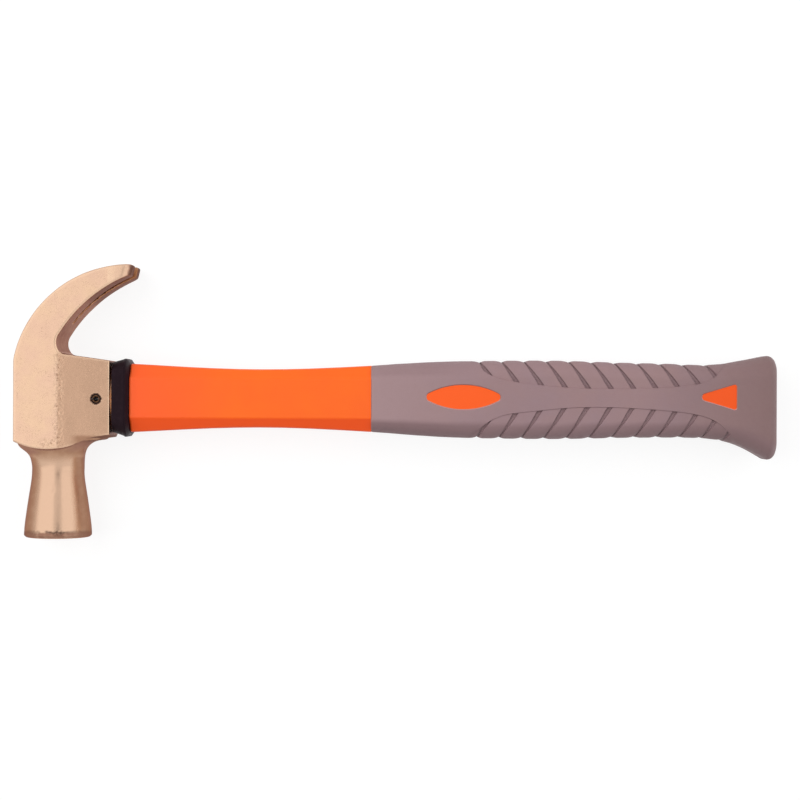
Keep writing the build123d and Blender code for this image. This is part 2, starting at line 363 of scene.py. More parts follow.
# a pair is where a worn or stained place, or a painted shade, highlight or reflection, starts and where it
# is full: in millimetres from the eye, or how far the surface's direction points that way
headSettings = dict(
    voxel=0.36,
    weld=0.002,  # points nearer than this become one
    smoothing=(0.5, -0.53) * 3,  # drawn in and let out again, so that edges soften and sizes stay
    waist=dict(across=30.5, width=3.0, step=0.5, rounds=30),  # ground smoother than the rest
    sweep=dict(height=0.05, size=9.0, lessOnNeck=0.6),  # how far the cast surface rises and falls
    grain=dict(height=0.008, size=1.1, lessOnNeck=0.7),
    blotch=1.5,  # the size of the patches that make stains and rims uneven
    claw=dict(
        backCentre=(33.4, 6.5),  # the middle of its curve
        start=(16.5, 18.0),
        inward=(0.15, 0.5),
        level=(-0.75, -0.55),
        slotHalf=6.0,
        slotWall=(0.5, 0.7),
        tip=(31.4, 33.6),
        tipUneven=0.8,
        nearTip=(24.5, 29.0),
        crotch=(22.5, 4.0),
    ),
    # the neck's sides take painted shade, partly real tarnish, where they mirror the dim floor; a painted
    # reflection streak runs down one side
    neck=dict(start=(23.5, 26.5), left=(0.36, 0.74), right=(0.54, 0.84), reflectionStreak=(0.75, 0.07)),
    # the dull sweep under the cheeks, painted shade below their step: how far from the middle plane, where
    # it starts and fades out
    flare=dict(depth=13.7, blend=0.4, start=(15.5, 17.0), end=(23.2, 28.8)),
    # faces turned down, away from the light, take painted shade with the patina; faces turned up near the
    # socket are darkened too
    under=(0.35, 0.8),
    above=(0.5, 0.8),
    socket=dict(start=4.0, low=(12.0, 18.0), top=20.0, end=24.6, endWall=(0.6, 0.85)),
    # painted shade round the pin's hole
    pin=dict(place=(18.8, -0.45), radius=2.5),
    # the rounded rim of the striking face, coloured darker, and a broken line worn along it
    rim=dict(start=57.8, uneven=0.55, blend=0.6, side=(-0.9, -0.75), wear=0.30, broken=0.4),
    rimLine=dict(width=0.55, size=3.2, gaps=(-0.4, 0.0), middle=2.0, half=7.0, least=0.3),
    # pitted places: the ridge where the socket starts to taper, and low on the cheek
    ridge=dict(along=3.2, width=1.5, ends=(-22.5, 18.5), depth=12.0),
    lowCheek=dict(across=20.0, width=1.8, along=-0.5, half=4.5, depth=13.0, share=0.8),
    pits=dict(size=0.95, gain=2.7, less=0.22, depth=0.22, seen=1.6, ground=0.45),
    # the socket's tapering side, given painted shade for the dark it mirrors, and the rim of its open end,
    # with a painted highlight on its edge and painted shade on its end face
    shadedFacet=dict(lead=1.1, depth=11.0, level=(0.85, 0.95), low=(-21.0, -19.0), high=(-23.0, -22.0)),
    socketRim=dict(start=0.8, full=0.3, level=0.5, share=1.6, deep=0.6),
    bendGain=40,  # how soon a convex edge is rubbed bright
    # how much of each mark shows; the socket's underside and end face are painted shade, the streak a
    # painted reflection
    shares=dict(nearTip=0.22, above=0.8, shadedUnderSocket=0.55, shadedEndFace=0.75, reflectionStreak=0.4),
)


def castHead(s):
    # the solid's own shape as an even mesh with softened edges
    piece = bpy.data.objects.new("bronze_head", nodes["head"].data.copy())
    bpy.context.scene.collection.objects.link(piece)
    shape = bmesh.new()
    shape.from_mesh(piece.data)
    bmesh.ops.remove_doubles(shape, verts=shape.verts, dist=s["weld"] * mm)
    shape.to_mesh(piece.data)
    shape.free()
    remesh = piece.modifiers.new("even", "REMESH")
    remesh.mode = "VOXEL"
    remesh.voxel_size = s["voxel"] * mm
    remesh.adaptivity = 0.0
    applyModifiers(piece)
    mesh = piece.data
    mesh.materials.clear()
    near = neighbourMean(mesh)
    points = readVectors(mesh, "co")
    for step in s["smoothing"]:
        points += step * (near(points) - points)
    ground = s["waist"]
    waist = softBand((eyeArray[1] - points[:, 1]) / mm, ground["across"], ground["width"])[:, None]
    for _ in range(ground["rounds"]):
        points += ground["step"] * waist * (near(points) - points)
    writePoints(mesh, points)
    return piece, points, near


def wearHead(s, local, normals, blotches):
    # how worn, stained or pitted each point of the head is, and where painted shade, highlights and
    # reflections lie on it
    along, across, up = local.T
    high = np.abs(up)
    tall = np.abs(normals[:, 2])
    turned = normals[:, 0]
    shares = s["shares"]

    claw = s["claw"]
    outward = local[:, :2] - np.array(claw["backCentre"])
    outward /= np.linalg.norm(outward, axis=1)[:, None]
    facing = (normals[:, :2] * outward).sum(axis=1)
    inClaw = smoothStep(across, *claw["start"])
    # inside the claw: patina, with painted shade for the dim floor it mirrors
    inside = inClaw * smoothStep(-facing, *claw["inward"]) * smoothStep(-tall, *claw["level"])
    # painted shade in the claw's slot, warmed by light bounced between the claws
    slotShade = inClaw * (high < claw["slotHalf"]) * smoothStep(tall, *claw["slotWall"])
    tip = inClaw * smoothStep(along + claw["tipUneven"] * blotches, *claw["tip"])
    nearTip = inClaw * smoothStep(along + blotches, *claw["nearTip"])
    crotch = inside * softBand(across, *claw["crotch"])

    neck = smoothStep(-across, *s["neck"]["start"])
    # painted shade, partly real tarnish, on the neck's sides
    left = smoothStep(-turned, *s["neck"]["left"])
    neckSide = neck * np.maximum(left, smoothStep(turned, *s["neck"]["right"]))
    # a painted reflection down one side of the neck
    reflectionStreak = neck * softBand(turned, *s["neck"]["reflectionStreak"])
    sweep = s["flare"]
    # painted shade below the cheeks' step
    flare = smoothStep(sweep["depth"] - high, 0.0, sweep["blend"])
    flare *= smoothStep(-across, *sweep["start"])
    flare *= 1 - smoothStep(-across, *sweep["end"])

    socket = s["socket"]
    # painted shade on faces turned down, away from the light
    under = smoothStep(-normals[:, 1], *s["under"]) * (1 - neck)
    above = smoothStep(normals[:, 1], *s["above"])
    above *= (along > socket["start"]) * (across < socket["top"])
    # painted shade under the socket
    shadedUnderSocket = under * smoothStep(along, *socket["low"])
    pin = s["pin"]
    # painted shade round the pin's hole, in its countersink
    shadedHole = np.hypot(along - pin["place"][0], across - pin["place"][1]) < pin["radius"]

    rim, line = s["rim"], s["rimLine"]
    worn = rim["start"] + rim["uneven"] * blotches
    side = smoothStep(normals[:, 1], *rim["side"])
    darkRim = side * smoothStep(-across, worn, worn + rim["blend"])
    rimLine = side * softBand(-across, worn, line["width"])
    rimLine *= smoothStep(cloudy(local, line["size"], seed=6), *line["gaps"])
    rimLine *= line["least"] + (1 - line["least"]) * softBand(along, line["middle"], line["half"])

    ridge, cheek, pit = s["ridge"], s["lowCheek"], s["pits"]
    inRidge = softBand(along, ridge["along"], ridge["width"]) * (high > ridge["depth"])
    inRidge *= (across > ridge["ends"][0]) * (across < ridge["ends"][1])
    lowCheek = softBand(-across, cheek["across"], cheek["width"])
    lowCheek *= softBand(along, cheek["along"], cheek["half"]) * (high > cheek["depth"])
    pitted = np.maximum(inRidge, cheek["share"] * lowCheek)
    pits = pitted * np.clip(pit["gain"] * cloudy(local, pit["size"], seed=5) - pit["less"], 0, 1)

    taper, socketRim = s["shadedFacet"], s["socketRim"]
    # painted shade on the socket's tapering side, for the dark it mirrors
    shadedFacet = smoothStep(along, ridge["along"] - taper["lead"], ridge["along"])
    shadedFacet *= (high > taper["depth"]) * smoothStep(tall, *taper["level"])
    shadedFacet *= smoothStep(-across, *taper["low"]) * smoothStep(across, *taper["high"])
    # a painted highlight on the socket's open rim, and painted shade on its end face
    paintedRimLight = smoothStep(along, socket["end"] - socketRim["start"], socket["end"] - socketRim["full"])
    shadedEndFace = smoothStep(turned, *socket["endWall"]) * (along > socket["end"] - socketRim["deep"])
    # patina and worn marks, each with painted shade mixed in
    stainedOrShaded = (inside, tip, shares["nearTip"] * nearTip, under, shares["above"] * above, crotch)
    wornOrShaded = (shadedHole, rimLine, shares["shadedUnderSocket"] * shadedUnderSocket, shares["shadedEndFace"] * shadedEndFace)
    masks = dict(
        patinaAndShade=np.max(stainedOrShaded, axis=0),
        tarnishAndShade=np.maximum(neckSide, flare),
        darkWearAndShade=np.max(wornOrShaded, axis=0),
        # painted shade in the slot and a painted reflection on the neck
        warm=np.maximum(shares["reflectionStreak"] * reflectionStreak, slotShade),
        pits=np.maximum(pit["seen"] * pits, pit["ground"] * pitted),
        ground=neck,
        shadedFacet=shadedFacet,
        rim=darkRim,
        # a painted highlight on the socket's open rim
        edge=socketRim["share"] * paintedRimLight * (tall > socketRim["level"]),
    )
    return masks, pits, rimLine


def makeHead(s):
    piece, points, near = castHead(s)
    mesh = piece.data
    normals = readVectors(mesh, "normal")
    local = (points - eyeArray) / mm
    blotches = cloudy(local, s["blotch"], seed=3)
    masks, pits, rimLine = wearHead(s, local, normals, blotches)
    neck = masks["ground"]
    lift = np.zeros(len(points))
    for cast, seed in ((s["sweep"], 1), (s["grain"], 2)):
        lift += cast["height"] * cloudy(local, cast["size"], seed) * (1 - cast["lessOnNeck"] * neck)
    lift -= s["rim"]["wear"] * rimLine * np.clip(blotches + s["rim"]["broken"], 0, 1)
    lift -= s["pits"]["depth"] * pits
    points += normals * (lift * mm)[:, None]
    writePoints(mesh, points)

    # how far each point stands out from its neighbours
    bend = ((near(points) - points) * normals).sum(axis=1) / mm
    bend = near(near(bend[:, None]))[:, 0]
    masks["edge"] = np.maximum(np.clip(-bend * s["bendGain"], 0, 1), masks["edge"])
    for name, values in masks.items():
        writeMask(mesh, name, values)
    mesh.polygons.foreach_set("use_smooth", [True] * len(mesh.polygons))
    mesh.update()
    return piece


bronzeSettings = dict(
    colour=(0.695, 0.455, 0.325),
    pale=(0.715, 0.480, 0.325),
    shadedFacet=(0.590, 0.367, 0.246),  # painted shade: the tapering side of the socket, darker for the dark it mirrors
    dull=(0.33, 0.19, 0.12),
    ground=(0.625, 0.410, 0.285),
    # painted shade on the neck's sides and under the cheeks' step, partly real tarnish
    tarnishAndShade=(0.375, 0.205, 0.128),
    # patina in the claw and at its tip, with painted shade inside the claw and on faces turned down
    patinaAndShade=(0.40, 0.222, 0.163),
    warm=(0.34, 0.150, 0.070),  # painted shade in the claw's slot, and a painted reflection down one side of the neck
    rim=(0.27, 0.140, 0.095),
    # painted shade round the pin's hole, under the socket and on its end face, with the worn line on the
    # face's rim
    darkWearAndShade=(0.085, 0.040, 0.028),
    # a painted highlight on the socket's open rim, and convex edges rubbed bright
    edge=(0.80, 0.56, 0.39),
    edgeTint=(0.62, 0.47, 0.46),
    clouds=dict(size=9.0, detail=4.0, low=0.38, high=0.62),
    speckle=dict(size=0.55, detail=2.0, roughness=0.7, low=0.60, high=0.72),
    patches=dict(size=5.0, detail=2.0, low=0.46, high=0.62),
    pitSpeckle=dict(size=0.8, detail=2.0, roughness=0.7, low=0.50, high=0.60),
    dotShare=0.22,
    edgeShare=0.5,
    # noise that makes the patina, tarnish, worn marks and painted shade uneven
    overlayNoise=dict(size=3.0, range=(0.3, 0.55)),
    leastOverlay=dict(tarnishAndShade=0.85, patinaAndShade=0.75, warm=0.7, rim=0.75, darkWearAndShade=0.9),
    castRough=0.25,
    groundRough=0.20,
    rougher=dict(patinaAndShade=0.22, tarnishAndShade=0.14),
    uneven=dict(size=1.7, low=0.3, high=0.7, toLow=-0.04, toHigh=0.05),
    # fine grain on the cast surface, and a few long scratches where it is ground
    grain=dict(size=0.45, roughness=0.65, onGround=0.25, strength=0.06, depth=0.08),
    scratch=dict(turn=0.25, stretch=(0.25, 2.2, 0.25), strength=-0.5, depth=0.12),
    scratchLines=dict(size=1.4, roughness=0.6, low=0.58, high=0.68),
    scratchPatches=dict(size=4.5, low=0.5, high=0.62),
    hollow=dict(strength=0.6, depth=0.16),
)


def bronzeMaterial(s):
    material, tree, shader, place = startMaterial("cast_bronze")
    ground = attributeOf(tree, "ground")
    colour = mixColours(tree, patchesOf(tree, place, **s["clouds"]), s["colour"], s["pale"])
    colour = mixColours(tree, ground, colour, s["ground"])
    # painted shade on the socket's tapering side
    colour = mixColours(tree, attributeOf(tree, "shadedFacet"), colour, s["shadedFacet"])
    speckle, patches = patchesOf(tree, place, **s["speckle"]), patchesOf(tree, place, **s["patches"])
    cast = mathOf(tree, "SUBTRACT", 1.0, ground)
    dots = mathOf(tree, "MULTIPLY", mathOf(tree, "MULTIPLY", speckle, patches), cast)
    pits = mathOf(tree, "MULTIPLY", attributeOf(tree, "pits"), patchesOf(tree, place, **s["pitSpeckle"]))
    faint = mathOf(tree, "MULTIPLY", dots, s["dotShare"])
    colour = mixColours(tree, mathOf(tree, "MAXIMUM", faint, pits), colour, s["dull"])
    # a painted highlight on the socket's open rim, and convex edges rubbed bright
    edge = mathOf(tree, "MULTIPLY", attributeOf(tree, "edge"), s["edgeShare"])
    colour = mixColours(tree, edge, colour, s["edge"])
    # patina, tarnish and worn marks, with the painted shade and reflections carried in them
    overlayNoise = noiseOf(tree, place, s["overlayNoise"]["size"])
    for name, least in s["leastOverlay"].items():
        share = between(tree, overlayNoise, *s["overlayNoise"]["range"], least, 1.0)
        amount = mathOf(tree, "MULTIPLY", attributeOf(tree, name), share)
        colour = mixColours(tree, amount, colour, s[name])
    shader.inputs["Metallic"].default_value = 1.0
    shader.inputs["Specular Tint"].default_value = rgba(s["edgeTint"])

    rough = between(tree, ground, 0.0, 1.0, s["castRough"], s["groundRough"])
    for name, rise in s["rougher"].items():
        rough = mathOf(tree, "ADD", rough, mathOf(tree, "MULTIPLY", attributeOf(tree, name), rise))
    rough = mathOf(tree, "ADD", rough, patchesOf(tree, place, **s["uneven"]))

    grain, scratch, hollow = s["grain"], s["scratch"], s["hollow"]
    cover = between(tree, ground, 0.0, 1.0, 1.0, grain["onGround"])
    fine = noiseOf(tree, place, grain["size"], roughness=grain["roughness"])
    fine = bumpOf(tree, mathOf(tree, "MULTIPLY", fine, cover), grain["strength"], grain["depth"])
    turned = addNode(
        tree,
        "Mapping",
        inputs={"Vector": place, "Rotation": (0.0, 0.0, scratch["turn"]), "Scale": scratch["stretch"]},
    )
    lines = patchesOf(tree, turned.outputs["Vector"], **s["scratchLines"])
    lines = mathOf(tree, "MULTIPLY", lines, patchesOf(tree, place, **s["scratchPatches"]))
    lines = mathOf(tree, "MULTIPLY", lines, ground)
    scratched = bumpOf(tree, lines, scratch["strength"], scratch["depth"], fine)
    deep = mathOf(tree, "MULTIPLY", mathOf(tree, "MAXIMUM", dots, pits), -1.0)
    normal = bumpOf(tree, deep, hollow["strength"], hollow["depth"], scratched)
    finishSurface(tree, shader, colour, rough, normal)
    return material


head = makeHead(headSettings)
head.data.materials.append(bronzeMaterial(bronzeSettings))
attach(head, "root")
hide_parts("head")
print("head:", len(head.data.polygons), "faces")


gripSettings = dict(
    # along the handle: height above and depth below the axis, half the thickness, corner
    sections=(
        (136.9, 14.35, 14.35, 10.7, 6.0),
        (150.0, 15.3, 15.3, 11.4, 6.8),
        (167.0, 16.2, 16.4, 12.2, 7.4),
        (193.0, 16.7, 17.0, 12.8, 7.8),
        (219.0, 16.8, 17.1, 12.9, 7.8),
        (245.0, 16.1, 16.5, 12.6, 7.6),
        (268.0, 15.6, 16.3, 12.4, 7.4),
        (284.0, 15.4, 16.9, 12.5, 7.6),
        (297.5, 17.2, 20.1, 13.4, 8.6),
        (308.0, 19.3, 25.7, 14.6, 9.6),
    ),
    # the same, from the last of those round to the end
    butt=(
        (309.2, 19.1, 25.6, 13.8, 9.5),
        (310.2, 18.7, 25.3, 12.6, 9.2),
        (311.4, 17.9, 24.5, 10.2, 8.2),
        (312.1, 17.1, 23.6, 7.2, 6.4),
        (312.9, 15.5, 21.8, 3.8, 3.4),
        (313.45, 12.5, 18.0, 1.2, 1.1),
    ),
    buttSteps=61,
    # along the handle: how far the bare spine reaches above and below the axis
    spineAbove=(
        (178.0, 17.6), (188.0, 10.5), (200.0, 7.3), (218.0, 5.3), (239.0, 4.6),
        (262.0, 5.2), (275.0, 6.4), (285.0, 10.3), (292.0, 18.5),
    ),
    spineBelow=(
        (178.0, 17.6), (188.0, 9.3), (203.0, 5.4), (219.0, 3.75), (240.0, 3.2),
        (258.0, 4.1), (276.0, 6.1), (284.5, 8.9), (290.0, 13.3), (295.0, 19.5),
    ),
    skin=2.3,
    skinStart=0.25,  # how far the outer skin reaches over the jacket at its start
    innerEnd=306.0,
    innerColumns=(0, 20, 40, 60, 76, 120, 160, 200, 240, 280, 320),
    endRings=(0.8, 0.6, 0.4, 0.2),
    # the grooves, from the head's side
    first=183.4,
    pitch=9.7,
    count=12,
    lean=33.5,  # degrees
    leanStart=4.0,  # how far from the axis a groove reaches its full lean
    lowerShift=(-1.45, -0.85),  # the lower grooves lie nearer the head, at the spine and at the edge
    edge=17.0,
    width=(1.9, 0.8),  # square across a groove, at the spine and at the handle's edge
    depth=(0.75, 0.5),
    narrow=(0.0, 0.55),  # where width and depth change, as a share of the panel
    floorSlope=0.26,  # a groove's sloping side, as a share of half its width
    # painted shade on the grooves' walls: where across the wall and how wide, and how much on the side
    # away from the head, more on the upper panel
    wall=dict(middle=0.85, reach=0.4, behind=0.55, behindUpper=0.25),
    step=0.35,  # the panels lie this far below the spine
    stepFade=(0.0, 0.6),
    stepEnds=((177.0, 190.0), (286.0, 296.0)),
    pillow=(0.12, 0.75),
    pillowGrow=(0.1, 0.7),
    pillowRun=(2.6, 4.0),  # a land's short rounded start and its longer run down
    fadeIn=5.0,  # the grooves' lean dies away before the first and behind the last
    fadeOut=1.2,
    wave=dict(height=0.05, size=7.0, stillStart=3, stillEnd=6),
    # how the mesh is laid out: columns before, across, between and behind the grooves, and rows
    lead=dict(step=0.55, count=76, blend=8),
    marks=(-0.65, -0.5, -0.37, -0.18, 0.0, 0.18, 0.37, 0.5, 0.65),
    lands=13,
    tail=dict(count=44, power=1.5),
    spineRows=22,
    panelRows=33,
    border=0.18,
    # each row is moved until it meets its leaning grooves, from a first guess
    firstShift=5.0,
    firstSettling=30,
    settling=12,
    furthestTurn=0.985,  # how far into the corner the spine's edge may reach
)
windowSettings = dict(
    lens=dict(middle=176.6, across=0.9, half=(17.6, 5.2), end=1.8, sideSteps=32, endSteps=10),
    arrow=dict(tip=275.5, across=1.3, end=293.8, half=5.6, tipRadius=1.5, cornerRadius=0.95),
    cornerSteps=10,
    rim=0.42,  # the bevel's width and depth
    proud=0.08,  # where the bevel starts, above the cheek
    cut=3.2,  # how deep and how high the cutter reaches
    clear=2.0,
    sharp=38,  # degrees, from which an edge is shaded sharp
)


def splineOf(knots, values):
    # a natural cubic spline through the values
    knots, values = np.asarray(knots, float), np.asarray(values, float)
    last = len(knots) - 1
    gap = np.diff(knots)
    slope = np.diff(values) / gap
    matrix = np.eye(last + 1)
    right = np.zeros(last + 1)
    for i in range(1, last):
        matrix[i, i - 1 : i + 2] = gap[i - 1], 2 * (gap[i - 1] + gap[i]), gap[i]
        right[i] = 6 * (slope[i] - slope[i - 1])
    bend = np.linalg.solve(matrix, right)

    def at(x):
        i = np.clip(np.searchsorted(knots, x) - 1, 0, last - 1)
        width = gap[i]
        a = (knots[i + 1] - x) / width
        b = 1 - a
        cubic = ((a**3 - a) * bend[i] + (b**3 - b) * bend[i + 1]) * width**2 / 6
        return a * values[i] + b * values[i + 1] + cubic

    return at


gripBody = np.array(gripSettings["sections"])
gripSplines = [splineOf(gripBody[:, 0], gripBody[:, i]) for i in range(1, 5)]
buttKnots = np.array(gripSettings["sections"][-1:] + gripSettings["butt"])
buttSteps = np.linspace(0, len(buttKnots) - 1, gripSettings["buttSteps"])
gripButt = np.stack([splineOf(range(len(buttKnots)), row)(buttSteps) for row in buttKnots.T], axis=1)
spineKnots = {1: np.array(gripSettings["spineAbove"]), -1: np.array(gripSettings["spineBelow"])}
spineSplines = {side: splineOf(*knots.T) for side, knots in spineKnots.items()}


def gripSection(x):
    # height above, depth below, half thickness and corner at x
    start = gripButt[0, 0]
    body = [spline(np.minimum(x, start)) for spline in gripSplines]
    butt = [np.interp(x, gripButt[:, 0], gripButt[:, i]) for i in range(1, 5)]
    return [np.where(x > start, b, a) for a, b in zip(body, butt)]


def spineEdge(x, side):
    knots = spineKnots[side]
    return spineSplines[side](np.clip(x, knots[0, 0], knots[-1, 0]))


def gripColumns(s):
    # each column stands at place + share * groove width
    lead, tail, shoulder = s["lead"], s["tail"], s["marks"][-1]
    columns = [(s["sections"][0][0] + lead["step"] * i, 0.0) for i in range(lead["count"])]
    leadStart = columns[-1][0]
    for i in range(1, lead["blend"]):
        t = i / lead["blend"]
        columns.append((leadStart + (s["first"] - leadStart) * t, -shoulder * t))
    for k in range(s["count"]):
        middle = s["first"] + k * s["pitch"]
        columns += [(middle, mark) for mark in s["marks"]]
        if k < s["count"] - 1:
            for j in range(1, s["lands"] + 1):
                t = j / (s["lands"] + 1)
                columns.append((middle + s["pitch"] * t, shoulder * (1 - 2 * t)))
    last = columns[-1][0]
    for i in range(1, tail["count"] + 1):
        t = 1 - (1 - i / tail["count"]) ** tail["power"]
        columns.append((last + (s["butt"][-1][0] - last) * t, shoulder * (1 - t)))
    return np.array(columns).T


def blend(pair, share):
    return pair[0] + (pair[1] - pair[0]) * share


def shareOf(t, low, high):
    return float(smoothStep(np.array(t), low, high))


def panelRelief(s, x, station, width, t, taper, side):
    # how deep each point of a panel's row is sunk, and how far it is groove floor and groove wall, where
    # painted shade goes
    k = np.clip(np.round((station - s["first"]) / s["pitch"]), 0, s["count"] - 1)
    off = station - (s["first"] + k * s["pitch"])
    edge = np.abs(off) / (width / 2)
    floor = np.clip((1.0 - edge) / s["floorSlope"], 0, 1)
    wall = np.clip(1 - np.abs(edge - s["wall"]["middle"]) / s["wall"]["reach"], 0, 1)
    wall *= np.where(off < 0, 1.0, s["wall"]["behind"] + s["wall"]["behindUpper"] * side)
    pillow = blend(s["pillow"], shareOf(t, *s["pillowGrow"]))
    run = np.where(off > 0, *s["pillowRun"])
    rounding = pillow * np.clip(1 - np.abs(off) / run, 0, 1) ** 2
    stepStart, stepEnd = s["stepEnds"]
    ends = smoothStep(x, *stepStart) * (1 - smoothStep(x, *stepEnd))
    step = s["step"] * (1 - shareOf(t, *s["stepFade"]))
    return floor * blend(s["depth"], taper) + rounding + step * ends, floor, wall


def gripQuarter(s, side):
    # points of one quarter of the skin, from the middle of the upper flat to the middle of an edge
    place, share = gripColumns(s)
    lean = math.tan(math.radians(s["lean"]))
    toWidth = 1 / math.cos(math.radians(s["lean"]))
    firstX, lastX = s["sections"][0][0], s["butt"][-1][0]
    lastGroove = s["first"] + (s["count"] - 1) * s["pitch"]
    soft, border = s["leanStart"], s["border"]

    def shear(across):
        nearMiddle = across**2 / (2 * soft) + soft / 2
        shift = np.interp(across, (0.0, soft, s["edge"]), (0.0, *s["lowerShift"])) if side < 0 else 0.0
        return (s["edge"] - np.where(across < soft, nearMiddle, across)) * lean + shift

    def fade(station):
        ahead = smoothStep(station, firstX, s["first"] - s["fadeIn"])
        behind = np.clip((lastX - station) / (lastX - lastGroove - s["fadeOut"]), 0, 1)
        return ahead * behind

    def sectionAt(x):
        top, bottom, half, corner = gripSection(x)
        return (top if side > 0 else bottom), half, corner

    def lengthAt(across, reach, half, corner):
        flat = reach - corner
        turn = np.arcsin(np.clip((across - flat) / corner, 0, s["furthestTurn"]))
        return np.where(across < flat, across, flat + corner * turn)

    width = s["width"][0] * toWidth
    station = place + share * width
    x = station + fade(station) * s["firstShift"]
    for _ in range(s["firstSettling"]):
        across = np.minimum(spineEdge(x, side), sectionAt(x)[0])
        x = 0.5 * x + 0.5 * (station + fade(station) * shear(across))
    borderLength = lengthAt(across, *sectionAt(x))

    rows = [("spine", i / s["spineRows"]) for i in range(s["spineRows"] + 1)]
    rows += [("panel", i / s["panelRows"]) for i in range(s["panelRows"] + 1)]
    points, outs, reliefs = [], [], []
    for kind, t in rows:
        taper = 0.0 if kind == "spine" else shareOf(t, *s["narrow"])
        width = blend(s["width"], taper) * toWidth
        station = place + share * width
        for _ in range(s["settling"]):
            reach, half, corner = sectionAt(x)
            whole = reach - corner + corner * math.pi / 2 + half - corner
            length = borderLength * t
            if kind == "panel":
                length = borderLength + border + (whole - borderLength - border) * t
            flat = reach - corner
            turn = np.clip((length - flat) / corner, 0, math.pi / 2)
            across = np.where(length < flat, length, flat + corner * np.sin(turn))
            up = half - corner * (1 - np.cos(turn)) - np.maximum(length - flat - corner * math.pi / 2, 0)
            x = 0.5 * x + 0.5 * (station + fade(station) * shear(across))
        relief = np.zeros((3, len(station)))
        if kind == "panel":
            relief = np.array(panelRelief(s, x, station, width, t, taper, side))
        points.append(np.stack([x, side * across, up], axis=1))
        outs.append(np.stack([np.zeros(len(x)), side * np.sin(turn), np.cos(turn)], axis=1))
        reliefs.append(relief)
    return [np.array(points), np.array(outs), *np.stack(reliefs, axis=1)]


def aroundLoop(plus, minus, flip):
    # a whole turn round the handle from its two upper quarters
    mirror = np.array((1.0, 1.0, -1.0)) if flip else 1.0
    return np.concatenate(
        [plus, (plus * mirror)[-2::-1], (minus * mirror)[1:], minus[-2:0:-1]],
        axis=0,
    )


def makeGrip(s):
    plus, minus = gripQuarter(s, 1), gripQuarter(s, -1)
    points, outs = (aroundLoop(plus[i], minus[i], True) for i in (0, 1))
    sinks, floors, walls = (aroundLoop(plus[i], minus[i], False) for i in (2, 3, 4))
    rowCount, columnCount = sinks.shape
    wave = s["wave"]
    waves = wave["height"] * cloudy(points.reshape(-1, 3), wave["size"], seed=4).reshape(sinks.shape)
    waves[:, : wave["stillStart"]] = 0
    waves[:, -wave["stillEnd"] :] = 0
    skin = points - outs * (sinks - waves)[:, :, None]
    skin[:, 0] -= s["skinStart"] * outs[:, 0]
    tube = points - outs * s["skin"]

    # rings along the skin, smaller ones closing the butt, and the tube's own inside the skin
    rings = [skin[:, c] for c in range(columnCount)]
    endX, endAbove, endBelow = s["butt"][-1][:3]
    middle = np.array((endX, (endAbove - endBelow) / 2, 0.0))
    rings += [middle + (skin[:, -1] - middle) * k for k in s["endRings"]]
    outerCount = len(rings)
    inner = [c for c in s["innerColumns"] if points[0, c, 0] < s["innerEnd"]]
    rings += [tube[:, c] for c in inner]
    innerMiddle = tube[:, inner[-1]].mean(axis=0)
    allPoints = np.concatenate(rings + [middle[None], innerMiddle[None]])
    faces = []

    def bridge(a, b):
        for r in range(rowCount):
            n = (r + 1) % rowCount
            faces.append((a * rowCount + r, b * rowCount + r, b * rowCount + n, a * rowCount + n))

    for ring in range(outerCount - 1):
        bridge(ring, ring + 1)
    bridge(outerCount, 0)
    for ring in range(outerCount, len(rings) - 1):
        bridge(ring + 1, ring)
    buttMiddle = len(allPoints) - 2
    for r in range(rowCount):
        n = (r + 1) % rowCount
        a = (outerCount - 1) * rowCount
        faces.append((a + r, buttMiddle, a + n))
        b = (len(rings) - 1) * rowCount
        faces.append((b + n, buttMiddle + 1, b + r))
    piece = newPiece("rubber_grip", allPoints * mm + eyeArray, faces)
    for name, values in (("groove", floors), ("wall", walls)):
        mask = np.zeros(len(allPoints))
        mask[: rowCount * columnCount] = values.T.ravel()
        writeMask(piece.data, name, mask)
    return piece


def arrowOutline(s, steps):
    # points and outward directions round a triangle with rounded corners, anticlockwise
    low, high = s["across"] - s["half"], s["across"] + s["half"]
    corners = [Vector(c) for c in ((s["tip"], s["across"]), (s["end"], low), (s["end"], high))]
    radii = (s["tipRadius"], s["cornerRadius"], s["cornerRadius"])
    found = []
    for i, corner in enumerate(corners):
        before = (corner - corners[i - 1]).normalized()
        after = (corners[(i + 1) % len(corners)] - corner).normalized()
        outA, outB = Vector((before.y, -before.x)), Vector((after.y, -after.x))
        centre = corner - radii[i] * (outA + outB) / (1 + outA.dot(outB))
        for k in range(steps + 1):
            out = outA.lerp(outB, k / steps).normalized()
            found.append((centre + radii[i] * out, out))
    return found


def lensOutline(s):
    # the same round two shallow arcs that meet in small round ends
    halfLong, halfWide = s["half"]
    sideSteps, endSteps = s["sideSteps"], s["endSteps"]
    radius = (halfLong**2 + halfWide**2) / (2 * halfWide)
    drop = radius - halfWide
    tip = math.sqrt((radius - s["end"]) ** 2 - drop**2)
    turn = math.atan2(tip, drop)
    found = []
    for side in (-1, 1):
        for k in range(sideSteps + 1):
            angle = turn * (2 * k / sideSteps - 1) * -side
            out = Vector((math.sin(angle), side * math.cos(angle)))
            found.append((Vector((s["middle"], s["across"] - side * drop)) + radius * out, out))
        end = Vector((s["middle"] - side * tip, s["across"]))
        for k in range(1, endSteps):
            swing = (math.pi / 2 - turn) * (1 - 2 * k / endSteps)
            out = Vector((-side * math.cos(swing), side * math.sin(swing)))
            found.append((end + s["end"] * out, out))
    return found


